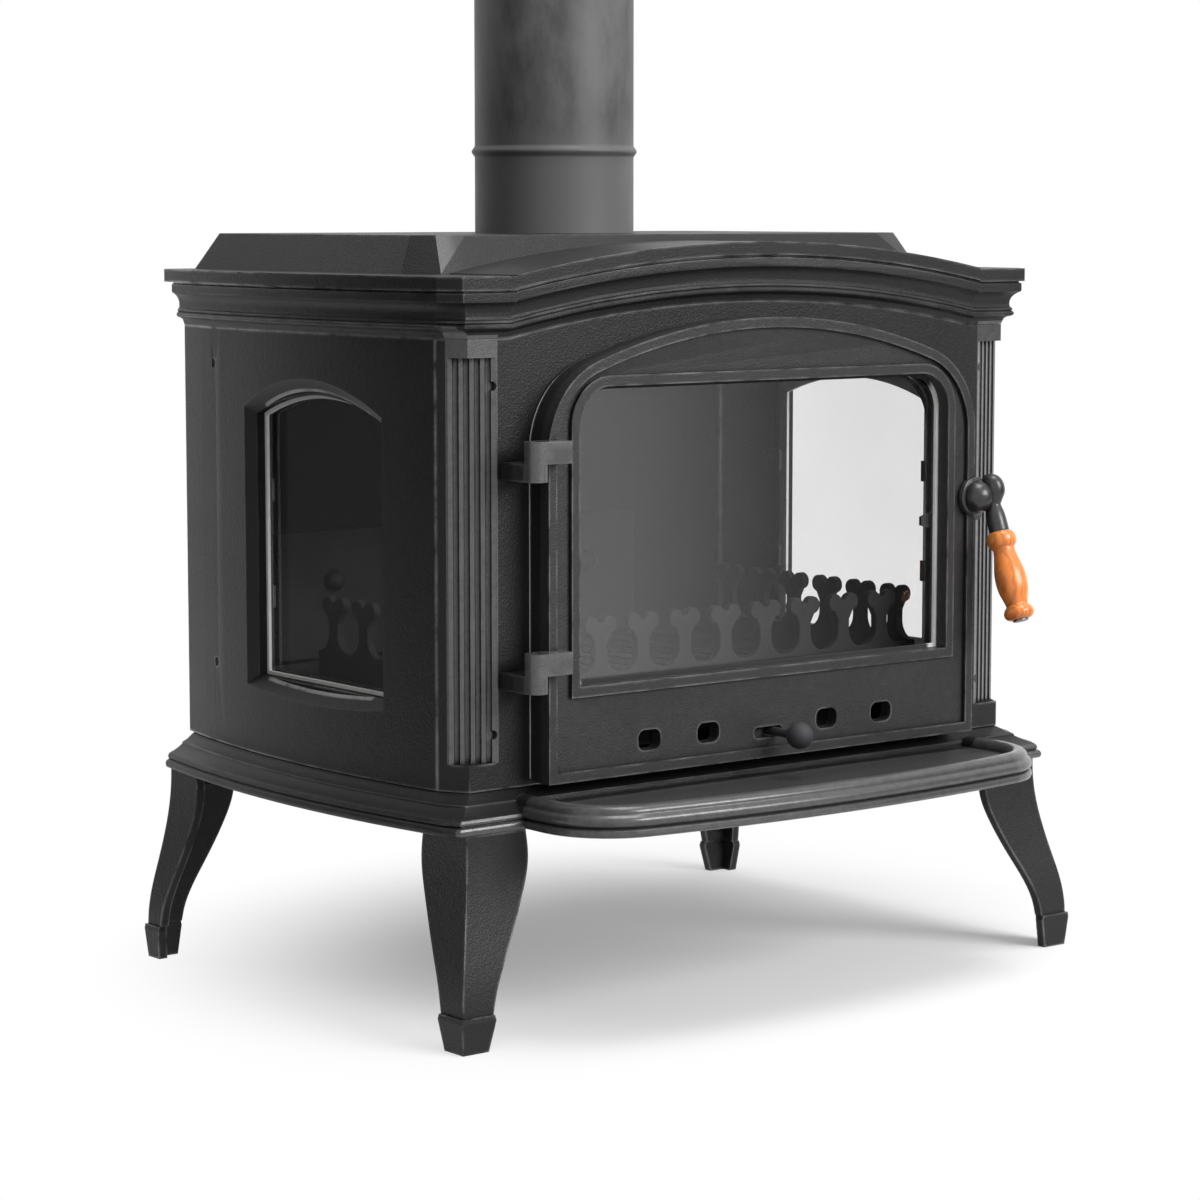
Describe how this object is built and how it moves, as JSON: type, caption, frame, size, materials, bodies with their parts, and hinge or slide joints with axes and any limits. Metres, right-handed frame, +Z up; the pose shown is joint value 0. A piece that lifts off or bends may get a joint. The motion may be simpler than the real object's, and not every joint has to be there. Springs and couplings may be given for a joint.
{
  "type": "cast iron wood stove",
  "caption": "Free-standing cast iron wood-burning stove with an arched glazed door, bowed glazed sides, moulded base and cornice, splayed legs and a flue pipe.",
  "frame": {"origin": "on the floor under the middle of the stove's bounding box", "axes": "+X to the right seen from the front, +Y to the back, +Z up along the flue"},
  "size_m": [0.7348, 0.6059, 0.93],
  "materials": {
    "cast_iron": "matte charcoal",
    "firebox_iron": "matte sooty",
    "flue_steel": "satin grey",
    "glass": "clear, slightly smoked",
    "rope": "white woven glass rope",
    "grip_wood": "satin varnish",
    "handle_iron": "satin dark",
    "sheet_steel": "dull",
    "bare_steel": "dull bright"
  },
  "bodies": {
    "stove": {"base_plate": "cast_iron", "leg_front_left": "cast_iron", "leg_front_right": "cast_iron", "leg_rear_left": "cast_iron", "leg_rear_right": "cast_iron", "leg_bolts": "bare_steel", "tie_rods": "bare_steel", "tie_rod_nuts": "bare_steel", "front_frame": "cast_iron", "side_panel_left": "cast_iron", "side_panel_right": "cast_iron", "side_gasket_left": "rope", "side_gasket_right": "rope", "side_glass_left": "glass", "side_glass_right": "glass", "side_glass_clips": "sheet_steel", "side_clip_screws": "bare_steel", "panel_screws": "bare_steel", "back_panel": "cast_iron", "cornice": "cast_iron", "top_plate": "cast_iron", "flue_collar": "cast_iron", "flue_pipe": "flue_steel", "collar_bolts": "bare_steel", "hinge_pins": "bare_steel", "catch_stud": "bare_steel", "catch_nut": "bare_steel", "grate_carrier": "firebox_iron", "grate": "firebox_iron", "log_guard_front": "firebox_iron", "log_guard_left": "firebox_iron", "log_guard_right": "firebox_iron", "back_liner": "firebox_iron", "liner_bolts": "bare_steel", "baffle_brackets": "firebox_iron", "baffle_plate": "firebox_iron", "pan_rails": "sheet_steel"},
    "door": {"door": "cast_iron", "door_glass": "glass", "door_glass_gasket": "rope", "door_rope_seal": "rope", "door_glass_clips": "sheet_steel", "door_clip_screws": "bare_steel", "shutter_guides": "sheet_steel"},
    "handle": {"handle_lever": "handle_iron", "handle_grip": "grip_wood", "grip_screw": "bare_steel", "handle_spindle": "bare_steel", "latch_tongue": "bare_steel", "latch_nut": "bare_steel"},
    "air_control": {"air_shutter": "sheet_steel", "air_knob_stem": "bare_steel", "air_knob": "handle_iron"},
    "ash_pan": {"ash_pan": "sheet_steel", "ash_pan_handle": "bare_steel"}
  },
  "joints": [
    {"name": "door_hinge", "type": "hinge", "parent": "stove", "child": "door", "pos_m": [-0.269, -0.201, 0.4], "axis": [0, 0, -1], "range_deg": [0, 110]},
    {"name": "handle_turn", "type": "hinge", "parent": "door", "child": "handle", "pos_m": [0.25, -0.194, 0.434], "axis": [0, -1, 0], "range_deg": [0, 90]},
    {"name": "air_slide", "type": "slide", "parent": "door", "child": "air_control", "axis": [1, 0, 0], "range_m": [-0.019, 0.005]},
    {"name": "ash_pan_slide", "type": "slide", "parent": "stove", "child": "ash_pan", "axis": [0, -1, 0], "range_m": [0, 0.025]}
  ]
}
